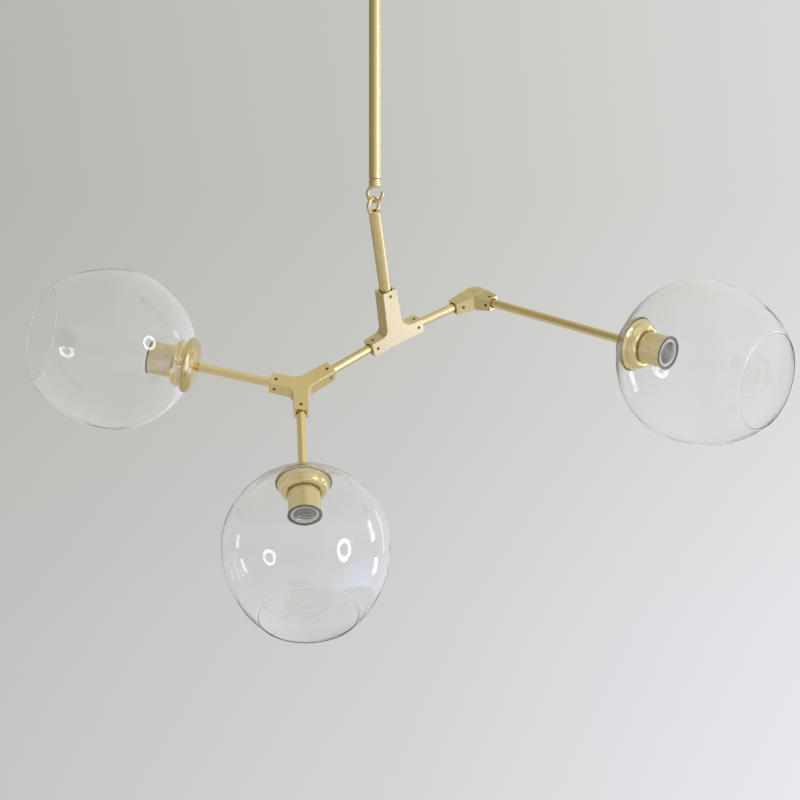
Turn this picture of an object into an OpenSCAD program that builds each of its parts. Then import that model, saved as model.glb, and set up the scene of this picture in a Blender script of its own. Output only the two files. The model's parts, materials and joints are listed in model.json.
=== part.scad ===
// Branch chandelier: brass stems and arms join in square hubs held by set
// screws, a hook and eye let it swing, and three clear globes open outwards.
// +Z is up, and the ceiling is the plane z = 0 above the hook.

/* [Ceiling] */
// Ceiling to the middle of the hook's wire where the eye hangs
drop = 300; // [240:5:900]
// Diameter of the canopy
canopy_d = 120; // [100:1:160]
// Depth of the canopy
canopy_h = 26; // [20:1:34]
// Sheet of the canopy
canopy_wall = 1.2; // [0.8:0.1:2]
// Radius of the canopy's drawn corner
canopy_round = 9; // [4:0.5:12]
// Outer diameter of the lock collar under the canopy
collar_d = 24; // [20:0.5:30]
// Height of the lock collar
collar_h = 12; // [9:0.5:16]
// From a slot to the crossbar's end
bar_end = 4; // [3:0.5:6]
// Width of the crossbar
bar_w = 22; // [18:0.5:26]
// Thickness of the crossbar
bar_t = 2.6; // [2:0.1:4]
// Distance between the centres of the crossbar's slots
slot_spacing = 76; // [70:1:80]
// Overall length of a slot
slot_l = 18; // [12:0.5:20]
// Width of a slot, for a box screw
slot_w = 5; // [4.5:0.1:6]
// Diameter of the threaded ceiling nipple
nipple_d = 8; // [7:0.1:8.2]
// Bore of the ceiling nipple
nipple_bore = 5.5; // [4:0.1:5.8]
// Length of the ceiling nipple
nipple_l = 24; // [20:1:32]

/* [Stems] */
// Outer diameter of both stems
stem_d = 13.5; // [12.5:0.1:14]
// Wall of both stems
stem_wall = 1.2; // [0.8:0.1:1.4]
// Length of the plug in a stem's end
plug_l = 14; // [10:1:18]
// Middle of the eye to the middle of the tee, along the lower stem
tee_drop = 164; // [140:1:260]

/* [Hook and eye] */
// Radius of the hook and of the eye, to the middle of the wire
link_r = 8.5; // [8:0.1:12]
// Diameter of the wire of the hook and of the eye
link_wire = 3.8; // [3:0.1:4]
// Clearance between the hook's wire and the eye's wire
link_gap = 0.3; // [0.2:0.05:0.6]
// Height of the hook's and the eye's round shank
shank_h = 9; // [7:0.5:14]
// Diameter of the threaded stub on a shank
stub_d = 8; // [6:0.1:8.4]
// Length of the threaded stub on a shank
stub_l = 9; // [6:0.5:9.5]
// Angle at which the hook's open end stops, above level
hook_tip = 5; // [-10:1:10]
// Diameter of the hole through which the leads enter the eye's shank
lead_hole_d = 4.6; // [3:0.1:5]
// Turn of the hook about the upright
hook_heading = -15; // [-20:1:-10]

/* [Hanging angles] */
// Turn of the eye about the upright
eye_heading = 49.9; // [45:0.1:55]
// Tilt of the eye's plane from upright
eye_tilt = 14.9; // [12:0.1:20]
// How far the eye has slid round on the hook's wire
eye_roll = -27.4; // [-30:0.1:-22]
// Turn of the tee on the lower stem
tee_turn = -12.4; // [-30:0.1:20]

/* [Arms] */
// Outer diameter of the arms
arm_d = 10; // [9:0.1:10.6]
// Wall of the arms
arm_wall = 1; // [0.6:0.1:1.2]
// Droop of the tee's left side below square
tee_droop = 6.2; // [0:0.5:12]
// Middle of the tee to the middle of the fork hub
tee_to_fork = 129; // [110:1:240]
// Middle of the tee to the elbow's pivot
tee_to_elbow = 118; // [100:0.5:240]
// Middle of the fork hub to the rim of the left cap
left_reach = 128.7; // [110:0.1:260]
// Middle of the fork hub to the rim of the lower cap
lower_reach = 126.2; // [110:0.1:260]
// Elbow's pivot to the rim of the right cap
right_reach = 227.1; // [120:0.1:320]
// Turn of the fork hub about the arm that carries it
fork_turn = 66.7; // [40:0.1:100]
// Angle between the fork's tee side and its left side
fork_left = 128.5; // [110:0.1:140]
// Angle between the fork's tee side and its lower side
fork_lower = 124.9; // [110:0.1:140]
// Bend of the elbow
elbow_bend = 76.1; // [40:0.1:80]

/* [Hubs] */
// Thickness of the tee and of the fork hub
hub_t = 17; // [15:0.5:20]
// Metal on each side of the bore at the end of a hub's side
hub_wall = 2.85; // [2.6:0.05:4]
// Widening of a hub's side towards its root, each side, in degrees
hub_taper = 1.5; // [0:0.1:3]
// Reach of the tee's upper side
tee_up = 59; // [48:1:80]
// Reach of the tee's left side
tee_left = 32; // [28:1:44]
// Reach of the tee's right side
tee_right = 38; // [30:1:50]
// Reach of the fork's tee side
fork_in = 43; // [32:1:54]
// Reach of the fork's left side
fork_out = 34; // [30:1:46]
// Reach of the fork's lower side
fork_down = 34; // [30:1:50]
// Fillet of the tee's left corner
tee_fillet_left = 8; // [4:0.5:10]
// Fillet of the tee's right corner
tee_fillet_right = 14; // [8:0.5:16]
// Fillet of the tee's almost straight underside
tee_fillet_under = 60; // [20:1:80]
// Fillet of the fork's upper corner
fork_fillet_top = 20; // [8:0.5:24]
// Fillet of the fork's left corner
fork_fillet_left = 9; // [5:0.5:12]
// Fillet of the fork's right corner
fork_fillet_right = 14; // [6:0.5:18]
// Where an arm stops, measured from the middle of its hub
arm_stop = 13; // [11:0.5:16]
// Bore for the leads where a hub's sides meet
lead_bore = 6.5; // [5:0.1:7]
// Chamfer at the mouth of a hub's bore
mouth_chamfer = 0.8; // [0.2:0.1:1.2]
// Diameter of a set screw
screw_d = 4; // [3:0.1:5]
// Distance of a set screw from the end of the hub's side
screw_inset = 6.2; // [4:0.1:8]
// Depth of a set screw's head below the face
screw_sunk = 0.4; // [0.2:0.1:1]
// Width across flats of a set screw's socket
screw_key = 2; // [1.5:0.1:2.2]

/* [Elbow] */
// Radius of the elbow's round lugs
lug_r = 12.2; // [11:0.1:13]
// Height of the elbow along its pivot
elbow_h = 16; // [15:0.5:20]
// Height of an elbow half at its end
elbow_tip = 13.6; // [13:0.1:15]
// Width of an elbow half across its arm
elbow_w = 14.2; // [13.4:0.1:15]
// Reach of the inner half from the pivot
elbow_in = 31; // [26:1:44]
// Reach of the outer half from the pivot
elbow_out = 28; // [26:1:44]
// elbow: from the end of its inner half to its set screws
elbow_in_inset = 8; // [5:0.5:10]
// elbow: from the end of its outer half to its set screws
elbow_out_inset = 5.5; // [5:0.5:9]
// Gap between the two lugs
lug_gap = 0.1; // [0.05:0.05:0.3]
// Diameter of the pivot screw
pivot_d = 5; // [4:0.1:5.5]
// Diameter of the pivot screw's head
pivot_head_d = 11; // [9:0.1:12]
// Height of the pivot screw's head
pivot_head_h = 2.6; // [2:0.1:3]
// Diameter of the lead chamber between the lugs
chamber_d = 12; // [10:0.1:13]
// Depth of the lead chamber in each lug
chamber_h = 2.4; // [1.5:0.1:3]
// Bore for the leads beside the pivot
elbow_lead = 4; // [3:0.1:4.5]
// Farthest the elbow can bend
bend_limit = 80; // [75:1:84]

/* [Lamp fittings] */
// Diameter of the outer cap
cap_d = 63; // [58:0.5:70]
// Height of the outer cap's dome
cap_h = 11.8; // [10:0.1:16]
// Sheet of the caps and cups
sheet = 1; // [0.8:0.1:1.4]
// Diameter of the threaded end of an arm
thread_d = 8; // [7:0.1:8.2]
// Diameter of the socket cup
cup_d = 36; // [35.5:0.1:40]
// Cap rim to the end of the lamp holder
holder_out = 45.2; // [42:0.1:54]
// Thickness of the liner's wall
liner_wall = 1.8; // [1:0.1:2.4]
// Diameter of the liner's lip
lip_d = 37.6; // [37:0.1:42]
// Thickness of the liner's lip
lip_t = 1.6; // [1:0.1:2.4]
// Diameter across the threads of the lamp screw shell
shell_d = 26.6; // [26.5:0.05:27]
// Depth of the lamp screw shell
shell_h = 23; // [20:0.5:26]
// Sheet of the screw shell
shell_wall = 0.5; // [0.3:0.05:0.6]
// Diameter of the locking collar's flange
ring_d = 58; // [54:0.5:60]
// Height of the locking collar
ring_h = 13.8; // [11:0.1:16]
// Gap between the locking collar's open end and the cup
ring_gap = 1.2; // [0.6:0.1:2]
// Depth of that gap
ring_gap_h = 2.8; // [1.5:0.1:4]

/* [Globes] */
// Largest diameter of a globe
globe_d = 180; // [150:1:200]
// Cap rim to the widest place of a globe
globe_mid = 82; // [72:1:90]
// Cap rim to the plane of the mouth
globe_l = 172; // [150:1:180]
// Diameter of the mouth
mouth_d = 105; // [90:1:120]
// Thickness of the glass
glass_t = 2.2; // [1.8:0.1:3]
// Diameter of the hole in a globe's neck
neck_d = 39; // [38.6:0.1:42]

/* [Clearances] */
// Radial clearance of an arm or a pin in its bore
fit = 0.05; // [0.03:0.01:0.1]
// Gap between pieces that face each other without touching
air = 0.3; // [0.2:0.05:0.5]

/* [Hidden] */
$fn = 64;

brushed = [0.80, 0.70, 0.44];
polished = [0.86, 0.74, 0.42];
steel = [0.70, 0.71, 0.72];
ceramic = [0.90, 0.88, 0.83];
dark = [0.16, 0.13, 0.11];
clear = [0.88, 0.93, 0.94, 0.35];

nut_flats = 14;
nut_h = 3;
bar_l = slot_spacing + slot_l + 2 * bar_end;
arm_side = arm_d + 2 * hub_wall;
stem_side = stem_d + 2 * (hub_wall - 0.5);
stem_bore = stem_d - 2 * stem_wall;
// the upper stem hangs on the nipple a nut below the crossbar
stem_top = bar_t + nut_h + 4;
// the flat underside of the shank cuts into the top of the hook's ring
shank_seat = 2 * link_r - link_wire / 2;
hook_top = drop - shank_seat - shank_h;

// ---------- frames ----------
// hook: middle of its wire where the eye hangs, +Z up
module at_hook() translate([0, 0, -drop]) rotate([0, 0, hook_heading]) children();

// eye: middle of its ring, +Z up the lower stem, -Y to the front
module at_eye()
    translate([0, 0, link_wire + link_gap - drop]) rotate([0, 0, eye_heading])
        rotate([eye_tilt, 0, 0]) translate([0, 0, -link_r]) rotate([0, eye_roll, 0]) children();

// tee: middle of the hub, +Z up the lower stem, +X to the elbow
module at_tee() at_eye() rotate([0, 0, tee_turn]) translate([0, 0, -tee_drop]) children();

// the two sides of the tee, +Z outwards along the arm
module along_fork_link() at_tee() rotate([0, -90 - tee_droop, 0]) children();
module along_elbow_link() at_tee() rotate([0, 90, 0]) children();

// fork: middle of the hub, -Z back to the tee, +X to the left arm
module at_fork()
    along_fork_link() translate([0, 0, tee_to_fork]) rotate([0, 0, fork_turn]) children();
module along_left_arm() at_fork() rotate([0, 180 - fork_left, 0]) children();
module along_lower_arm() at_fork() rotate([0, fork_lower - 180, 0]) children();

// elbow: middle of the pivot, the pivot along X with its head at -X
module at_elbow() along_elbow_link() translate([0, 0, tee_to_elbow]) children();
module along_right_arm() at_elbow() rotate([elbow_bend, 0, 0]) children();

// lamps: middle of the cap's rim, +Z out of the globe's mouth
module at_left_lamp() along_left_arm() translate([0, 0, left_reach]) children();
module at_lower_lamp() along_lower_arm() translate([0, 0, lower_reach]) children();
module at_right_lamp() along_right_arm() translate([0, 0, right_reach]) children();

// ---------- shapes that repeat ----------
module pipe(d, wall, from, to)
    translate([0, 0, from]) difference() {
        cylinder(d = d, h = to - from);
        translate([0, 0, -1]) cylinder(d = d - 2 * wall, h = to - from + 2);
    }

module hex(flats, h) cylinder(d = flats / cos(30), h = h, $fn = 6);

// a set screw with its flat head at z = 0, pointing down
module set_screw(l)
    translate([0, 0, -l]) difference() {
        cylinder(d = screw_d, h = l);
        translate([0, 0, l * 0.4]) hex(screw_key, l);
    }

// tube from a hub to a lamp, with the thread that holds cap and cup
module arm(from, to) {
    end = to - cap_h;
    difference() {
        union() {
            translate([0, 0, from]) cylinder(d = arm_d, h = end - from);
            translate([0, 0, end - 1]) cylinder(d = thread_d, h = 1 + 2 * sheet + nut_h + 1);
        }
        translate([0, 0, from - 1]) cylinder(d = arm_d - 2 * arm_wall, h = end - from - 3);
        translate([0, 0, from]) cylinder(d = thread_d - 2 * arm_wall, h = to);
    }
}

// ---------- hubs ----------
// A hub's outline: each side is [direction, reach, width at its end], and
// between two sides runs a fillet, tangent to both edges.
function unit(a) = [cos(a), sin(a)];
function cross_at(p, u, q, v) =
    p + u * (((q[0] - p[0]) * v[1] - (q[1] - p[1]) * v[0]) / (u[0] * v[1] - u[1] * v[0]));
// the edge of side s towards +1 (anticlockwise) or -1: its end point and its inward direction
function edge_end(s, way) = unit(s[0]) * s[1] + unit(s[0] + 90 * way) * s[2] / 2;
function edge_dir(s, way) = unit(s[0] + 180 - hub_taper * way);
// points of the fillet of radius r between side a and the next side b
function fillet(a, b, r) =
    let (
        u = edge_dir(a, 1),
        v = edge_dir(b, -1),
        m = unit(atan2(u[1], u[0]) - 90),
        n = unit(atan2(v[1], v[0]) + 90),
        c = cross_at(edge_end(a, 1) + m * r, u, edge_end(b, -1) + n * r, v),
        from = atan2(-m[1], -m[0]),
        turn = atan2(-n[1], -n[0]) - from,
        sweep = turn > 180 ? turn - 360 : turn < -180 ? turn + 360 : turn,
        steps = 14
    )
    [for (i = [0:steps]) c + r * unit(from + sweep * i / steps)];

module hub_outline(sides, fillets)
    polygon([for (i = [0:len(sides) - 1])
        let (s = sides[i], next = sides[(i + 1) % len(sides)])
            each concat([edge_end(s, -1), edge_end(s, 1)], fillet(s, next, fillets[i]))]);

// the bore of one hub side, along +Z, with its chamfered mouth and the lead hole behind it;
// the lead holes meet in a ball-shaped hollow in the hub's middle
module hub_bore(d, reach) {
    cylinder(d = lead_bore, h = reach);
    translate([0, 0, arm_stop]) cylinder(d = d + 2 * fit, h = reach);
    translate([0, 0, reach - mouth_chamfer])
        cylinder(d1 = d + 2 * fit, d2 = d + 2 * fit + 4 * mouth_chamfer, h = 2 * mouth_chamfer);
}

// the faces a set screw can sit in, turning +Z outwards
FRONT = [90, 0, 0];
BACK = [-90, 0, 0];
UP_X = [0, 90, 0];
DOWN_X = [0, -90, 0];
module screw_hole(z, half, face)
    translate([0, 0, z]) rotate(face) cylinder(d = screw_d + 2 * fit, h = half + 1);
// its tip stops just off the arm of diameter d
module screw_in(z, half, face, d)
    translate([0, 0, z]) rotate(face) translate([0, 0, half - screw_sunk])
        set_screw(half - screw_sunk - d / 2 - fit);
module side_holes(reach, width, face) {
    screw_hole(reach - screw_inset, hub_t / 2, FRONT);
    screw_hole(reach - screw_inset, width / 2, face);
}
module side_screws(reach, width, face, d) {
    screw_in(reach - screw_inset, hub_t / 2, FRONT, d);
    screw_in(reach - screw_inset, width / 2, face, d);
}

tee_sides = [[90, tee_up, stem_side], [180 + tee_droop, tee_left, arm_side], [360, tee_right, arm_side]];
fork_sides = [[fork_left - 90, fork_out, arm_side],
    [270 - fork_lower, fork_down, arm_side], [270, fork_in, arm_side]];

// the hub's flat block, its outline in the XZ plane
module hub_block(sides, fillets)
    translate([0, hub_t / 2, 0]) rotate([90, 0, 0]) linear_extrude(hub_t) hub_outline(sides, fillets);

module tee_hub() color(brushed) at_tee() difference() {
    hub_block(tee_sides, [tee_fillet_left, tee_fillet_under, tee_fillet_right]);
    sphere(d = lead_bore + 2);
    hub_bore(stem_d, tee_up);
    side_holes(tee_up, stem_side, UP_X);
    rotate([0, -90 - tee_droop, 0]) {
        hub_bore(arm_d, tee_left);
        side_holes(tee_left, arm_side, UP_X);
    }
    rotate([0, 90, 0]) {
        hub_bore(arm_d, tee_right);
        side_holes(tee_right, arm_side, DOWN_X);
    }
}
module tee_screws() color(steel) at_tee() {
    side_screws(tee_up, stem_side, UP_X, stem_d);
    rotate([0, -90 - tee_droop, 0]) side_screws(tee_left, arm_side, UP_X, arm_d);
    rotate([0, 90, 0]) side_screws(tee_right, arm_side, DOWN_X, arm_d);
}

module fork_hub() color(brushed) at_fork() difference() {
    hub_block(fork_sides, [fork_fillet_left, fork_fillet_right, fork_fillet_top]);
    sphere(d = lead_bore + 2);
    rotate([0, 180 - fork_left, 0]) {
        hub_bore(arm_d, fork_out);
        side_holes(fork_out, arm_side, DOWN_X);
    }
    rotate([0, fork_lower - 180, 0]) {
        hub_bore(arm_d, fork_down);
        side_holes(fork_down, arm_side, UP_X);
    }
    rotate([0, 180, 0]) {
        hub_bore(arm_d, fork_in);
        side_holes(fork_in, arm_side, UP_X);
    }
}
module fork_screws() color(steel) at_fork() {
    rotate([0, 180 - fork_left, 0]) side_screws(fork_out, arm_side, DOWN_X, arm_d);
    rotate([0, fork_lower - 180, 0]) side_screws(fork_down, arm_side, UP_X, arm_d);
    rotate([0, 180, 0]) side_screws(fork_in, arm_side, UP_X, arm_d);
}

// ---------- ceiling ----------
module crossbar() color(steel) difference() {
    translate([-bar_l / 2, -bar_w / 2, -bar_t]) cube([bar_l, bar_w, bar_t]);
    translate([0, 0, -bar_t - 1]) cylinder(d = nipple_d + 2 * fit, h = bar_t + 2);
    for (side = [-1, 1]) translate([side * slot_spacing / 2, 0, -bar_t - 1]) {
        for (end = [-1, 1])
            translate([end * (slot_l - slot_w) / 2, 0, 0]) cylinder(d = slot_w, h = bar_t + 2);
        translate([(slot_w - slot_l) / 2, -slot_w / 2, 0]) cube([slot_l - slot_w, slot_w, bar_t + 2]);
    }
}
module ceiling_nipple() color(steel) pipe(nipple_d, (nipple_d - nipple_bore) / 2, -nipple_l, 0);
module nut(flats, bore) difference() {
    hex(flats, nut_h);
    translate([0, 0, -1]) cylinder(d = bore + 2 * fit, h = nut_h + 2);
}
module lock_nut() color(steel) translate([0, 0, -bar_t - nut_h]) nut(nut_flats, nipple_d);
module plug(bore) difference() {
    cylinder(d = stem_bore - 2 * fit, h = plug_l);
    translate([0, 0, -1]) cylinder(d = bore + 2 * fit, h = plug_l + 2);
}
module stem_top_plug() color(steel) translate([0, 0, -stem_top - plug_l]) plug(nipple_d);
module upper_stem() color(brushed) pipe(stem_d, stem_wall, -hook_top, -stem_top);
module stem_end_plug() color(steel) translate([0, 0, -hook_top]) plug(stub_d);

// points of an arc round c
function arc(c, r, from, to, steps) =
    [for (i = [0:steps]) c + r * unit(from + (to - from) * i / steps)];
// drawn cup, open to the ceiling, loose round the stem
module canopy() color(brushed) rotate_extrude() polygon(concat(
    [[stem_d / 2 + air, canopy_wall - canopy_h], [stem_d / 2 + air, -canopy_h]],
    arc([canopy_d / 2 - canopy_round, canopy_round - canopy_h], canopy_round, -90, 0, 8),
    [[canopy_d / 2, 0], [canopy_d / 2 - canopy_wall, 0]],
    arc([canopy_d / 2 - canopy_round, canopy_round - canopy_h], canopy_round - canopy_wall, 0, -90, 8)));
module canopy_collar() color(brushed) translate([0, 0, -canopy_h - collar_h]) difference() {
    rotate_extrude() polygon(concat([[stem_d / 2 + fit, collar_h], [stem_d / 2 + fit, 0]],
        arc([collar_d / 2 - 2, 2], 2, -90, 0, 5), [[collar_d / 2, collar_h]]));
    screw_hole(collar_h / 2, collar_d / 2, FRONT);
}
module collar_screw() color(steel) translate([0, 0, -canopy_h - collar_h])
    screw_in(collar_h / 2, collar_d / 2, FRONT, stem_d);

// ---------- hook and eye ----------
module link_ring(from, sweep)
    rotate([90, 0, 0]) rotate([0, 0, from]) rotate_extrude(angle = sweep)
        translate([link_r, 0]) circle(d = link_wire);

// shank with its base at z = 0 and a threaded stub above it
module shank(base_r) {
    cylinder(r1 = base_r, r2 = stem_d / 2, h = 1.5);
    translate([0, 0, 1.5]) cylinder(d = stem_d, h = shank_h - 1.5);
    cylinder(d = stub_d, h = shank_h + stub_l);
}
module hook() color(brushed) at_hook() difference() {
    union() {
        translate([0, 0, link_r]) link_ring(90, 270 + hook_tip);
        translate([0, 0, link_r]) rotate([0, -hook_tip, 0]) translate([link_r, 0, 0])
            sphere(d = link_wire);
        translate([0, 0, shank_seat]) shank(stem_d / 2 - 1);
    }
    rotate([-90, 0, 0]) translate([0, -shank_seat - shank_h / 2, 0]) cylinder(d = lead_hole_d, h = stem_d);
    translate([0, 0, shank_seat + shank_h / 2]) cylinder(d = lead_hole_d, h = shank_h + stub_l);
}
module eye() color(brushed) at_eye() difference() {
    union() {
        link_ring(0, 360);
        rotate([180, 0, 0]) translate([0, 0, eye_seat]) shank(stem_d / 2 - 1.5);
    }
    translate([0, 0, -eye_seat - shank_h - stub_l - 1]) cylinder(d = lead_hole_d, h = shank_h + stub_l + 1 + link_wire);
}
eye_seat = link_r - link_wire / 2;
module lower_stem_plug() color(steel) at_eye()
    translate([0, 0, -eye_seat - shank_h - plug_l]) plug(stub_d);
module lower_stem() color(brushed) at_eye()
    pipe(stem_d, stem_wall, arm_stop + air - tee_drop, -eye_seat - shank_h);

// ---------- arms ----------
module fork_link() color(brushed)
    along_fork_link() pipe(arm_d, arm_wall, arm_stop + air, tee_to_fork - arm_stop - air);
module elbow_link() color(brushed)
    along_elbow_link() pipe(arm_d, arm_wall, arm_stop + air, tee_to_elbow - elbow_stop - air);
module left_arm() color(brushed) along_left_arm() arm(arm_stop + air, left_reach);
module lower_arm() color(brushed) along_lower_arm() arm(arm_stop + air, lower_reach);
module right_arm() color(brushed) along_right_arm() arm(elbow_stop + air, right_reach);

// ---------- elbow ----------
elbow_stop = lug_r + air + 1.2;
// half the height of a half's block at z
function elbow_half_h(reach, z) =
    elbow_tip / 2 + (elbow_h - elbow_tip) / 2 * (reach - z) / (reach - lug_r);
// A half's sides flare from its end until they touch the lug's circle at this angle.
function flare(reach) = let (w = elbow_w / 2) 90 - atan2(w, reach) - acos(lug_r / norm([w, reach]));
function elbow_half_w(reach, z) = elbow_w / 2 + (reach - z) * tan(flare(reach));
// Beyond the lugs the halves are cut back to this angle each side of their arm, so that they fold to the limit.
mitre = 90 - bend_limit / 2 - 0.5;
function mitre_corner(reach, side) = lug_r / sin(mitre + flare(reach)) * [side * sin(mitre), cos(mitre)];
// One half: a round lug on its own side of the pivot and a block that narrows to the arm.
// The pivot is along X, the arm along +Z, and the lug is on the side -1 or 1 of x = 0.
module elbow_body(reach, side) difference() {
    intersection() {
        translate([-elbow_h / 2, 0, 0]) rotate([90, 0, 90]) linear_extrude(elbow_h) union() {
            circle(lug_r);
            polygon([[0, 0], mitre_corner(reach, 1), [elbow_w / 2, reach],
                [-elbow_w / 2, reach], mitre_corner(reach, -1)]);
        }
        translate([0, 2 * lug_r, 0]) rotate([90, 0, 0]) linear_extrude(4 * lug_r)
            polygon([[-elbow_h / 2, -2 * lug_r], [elbow_h / 2, -2 * lug_r], [elbow_h / 2, lug_r],
                [elbow_tip / 2, reach], [-elbow_tip / 2, reach], [-elbow_h / 2, lug_r]]);
    }
    // room for the other half's lug
    rotate([0, -90 * side, 0]) translate([0, 0, -lug_gap / 2]) cylinder(r = lug_r + air, h = elbow_h);
    // lead chamber, pivot hole and lead bore
    rotate([0, 90 * side, 0]) cylinder(d = chamber_d, h = chamber_h);
    rotate([0, 90 * side, 0]) cylinder(d = pivot_d + 2 * fit, h = elbow_h);
    translate([side * chamber_h / 2, 0, 0]) cylinder(d = elbow_lead, h = reach);
    translate([0, 0, elbow_stop]) cylinder(d = arm_d + 2 * fit, h = reach);
    translate([0, 0, reach - mouth_chamfer])
        cylinder(d1 = arm_d + 2 * fit, d2 = arm_d + 2 * fit + 2 * mouth_chamfer, h = mouth_chamfer + 0.01);
}
module elbow_screw_holes(reach, inset, face, side_face) {
    z = reach - inset;
    screw_hole(z, elbow_half_w(reach, z), face);
    screw_hole(z, elbow_h / 2, side_face);
}
module elbow_screws(reach, inset, face, side_face) {
    z = reach - inset;
    screw_in(z, elbow_half_w(reach, z), face, arm_d);
    screw_in(z, elbow_half_h(reach, z), side_face, arm_d);
}
module elbow_inner() color(brushed) at_elbow() rotate([180, 0, 0]) difference() {
    elbow_body(elbow_in, -1);
    elbow_screw_holes(elbow_in, elbow_in_inset, BACK, UP_X);
    rotate([0, -90, 0]) translate([0, 0, elbow_h / 2 - pivot_head_h])
        cylinder(d = pivot_head_d + 2 * air, h = elbow_h);
}
module elbow_inner_screws() color(steel) at_elbow() rotate([180, 0, 0])
    elbow_screws(elbow_in, elbow_in_inset, BACK, UP_X);
module elbow_outer() color(brushed) along_right_arm() difference() {
    elbow_body(elbow_out, 1);
    elbow_screw_holes(elbow_out, elbow_out_inset, FRONT, DOWN_X);
    rotate([0, 90, 0]) translate([0, 0, elbow_h / 2 - pivot_head_h]) hex(pivot_nut_flats + 2 * fit, elbow_h);
}
module elbow_outer_screws() color(steel) along_right_arm()
    elbow_screws(elbow_out, elbow_out_inset, FRONT, DOWN_X);
pivot_nut_flats = 9;
module pivot_screw() color(brushed) along_right_arm() rotate([0, 90, 0]) {
    translate([0, 0, -elbow_h / 2]) difference() {
        cylinder(d = pivot_head_d, h = pivot_head_h);
        translate([0, 0, -1]) hex(screw_key + 1, 2.4);
    }
    translate([0, 0, pivot_head_h - elbow_h / 2]) cylinder(d = pivot_d, h = elbow_h - pivot_head_h - 0.4);
}
module pivot_nut() color(steel) along_right_arm()
    rotate([0, 90, 0]) translate([0, 0, elbow_h / 2 - pivot_head_h]) difference() {
        hex(pivot_nut_flats, pivot_head_h - 0.3);
        translate([0, 0, -1]) cylinder(d = pivot_d + 2 * fit, h = pivot_head_h + 2);
    }

// ---------- lamp fitting ----------
// Every part stands on the plane of the cap's rim, with +Z out of the mouth.
cap_flat = 8;
lamp_nut_flats = 11.5;
// the cap's dome is half an ellipse cut flat where the arm's end bears on it
function dome(r, h, steps) = let (high = h / sqrt(1 - pow(cap_flat / r, 2)), first = asin(cap_flat / r))
    [for (i = [0:steps]) let (a = first + (90 - first) * i / steps) [r * sin(a), -high * cos(a)]];
module lamp_cap() color(brushed) rotate_extrude() polygon(concat(
    [[thread_d / 2 + fit, -cap_h]], dome(cap_d / 2, cap_h, 12),
    dome_back(cap_d / 2 - sheet, cap_h - sheet, 12), [[thread_d / 2 + fit, sheet - cap_h]]));
function dome_back(r, h, steps) = let (points = dome(r, h, steps)) [for (i = [steps:-1:0]) points[i]];

module lamp_nut() color(steel) translate([0, 0, 2 * sheet - cap_h]) nut(lamp_nut_flats, thread_d);

// the cup narrows behind the globe so that it fits in the cap
cup_r = cup_d / 2;
cup_foot = 7.5;
cup_base = sheet - cap_h;
module lamp_cup() color(brushed) rotate_extrude() polygon([
    [thread_d / 2 + fit, cup_base], [cup_foot, cup_base], [cup_r, -2], [cup_r, holder_out - lip_t],
    [cup_r - sheet, holder_out - lip_t], [cup_r - sheet, sheet / 2 - 2],
    [cup_foot - sheet / 3, cup_base + sheet], [thread_d / 2 + fit, cup_base + sheet]]);

// dark sleeve: its lip covers the cup's edge, its inner step carries the insulator
liner_out = cup_r - sheet - fit;
liner_in = liner_out - liner_wall;
floor_h = 5;
well_h = 2.8;
step_z = holder_out - shell_h - well_h - floor_h - 2.6;
module lamp_liner() color(dark) rotate_extrude() polygon([
    [liner_in - 2, step_z], [liner_out, step_z], [liner_out, holder_out - lip_t],
    [lip_d / 2, holder_out - lip_t], [lip_d / 2, holder_out - 0.5], [lip_d / 2 - 0.5, holder_out],
    [liner_in, holder_out], [liner_in, step_z + 1], [liner_in - 2, step_z + 1]]);

// ceramic body round the screw shell, a well for the contact, and two holes for the leads
module lamp_insulator() color(ceramic) translate([0, 0, step_z + 1]) difference() {
    cylinder(r = liner_in - fit, h = floor_h + well_h + shell_h + 0.6);
    translate([0, 0, floor_h]) cylinder(r = shell_d / 2 - 1.5, h = shell_h);
    translate([0, 0, floor_h + well_h]) cylinder(d = shell_d + 2 * fit, h = shell_h + 2);
    translate([0, 0, -1]) cylinder(d = 3, h = floor_h + 2);
    for (side = [-1, 1]) translate([side * 8.5, 0, -1]) cylinder(d = 3, h = floor_h + 2);
}
module lamp_shell() color(steel) translate([0, 0, step_z + 1 + floor_h + well_h]) difference() {
    cylinder(d = shell_d, h = shell_h);
    translate([0, 0, -1]) cylinder(d = shell_d - 2 * shell_wall, h = shell_h + 2);
}
// centre contact: a sprung disc with its post in the ceramic floor
module lamp_contact() color(polished) translate([0, 0, step_z + 1 + floor_h]) {
    translate([0, 0, -floor_h + 1]) cylinder(d = 3 - 2 * fit, h = floor_h);
    cylinder(d = 9, h = 0.8);
    translate([0, 0, 0.8]) cylinder(d1 = 7, d2 = 4, h = 1.6);
}

// globe: superellipse towards the neck, ellipse towards the mouth
globe_r = globe_d / 2;
neck_p = 1.9;
function neck_angle(r, full) = asin(pow(r / full, neck_p / 2));
neck_depth = globe_mid / pow(cos(neck_angle(cap_d / 2 - sheet, globe_r)), 2 / neck_p) - 0.02;
mouth_depth = (globe_l - globe_mid) / sqrt(1 - pow(mouth_d / globe_d, 2));
function neck_side(in, steps) = let (first = neck_angle(neck_d / 2, globe_r - in))
    [for (i = [0:steps - 1]) let (a = first + (90 - first) * i / steps)
        [(globe_r - in) * pow(sin(a), 2 / neck_p),
            globe_mid - (neck_depth - in) * pow(cos(a), 2 / neck_p)]];
function mouth_side(in, steps) = let (last = asin((globe_l - globe_mid) / (mouth_depth - in)))
    [for (i = [0:steps]) let (a = last * i / steps)
        [(globe_r - in) * cos(a), globe_mid + (mouth_depth - in) * sin(a)]];
function globe_side(in) = concat(neck_side(in, 14), mouth_side(in, 12));
function reversed(points) = [for (i = [len(points) - 1:-1:0]) points[i]];
module lamp_globe() color(clear)
    rotate_extrude() polygon(concat(globe_side(0), reversed(globe_side(glass_t))));

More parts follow.
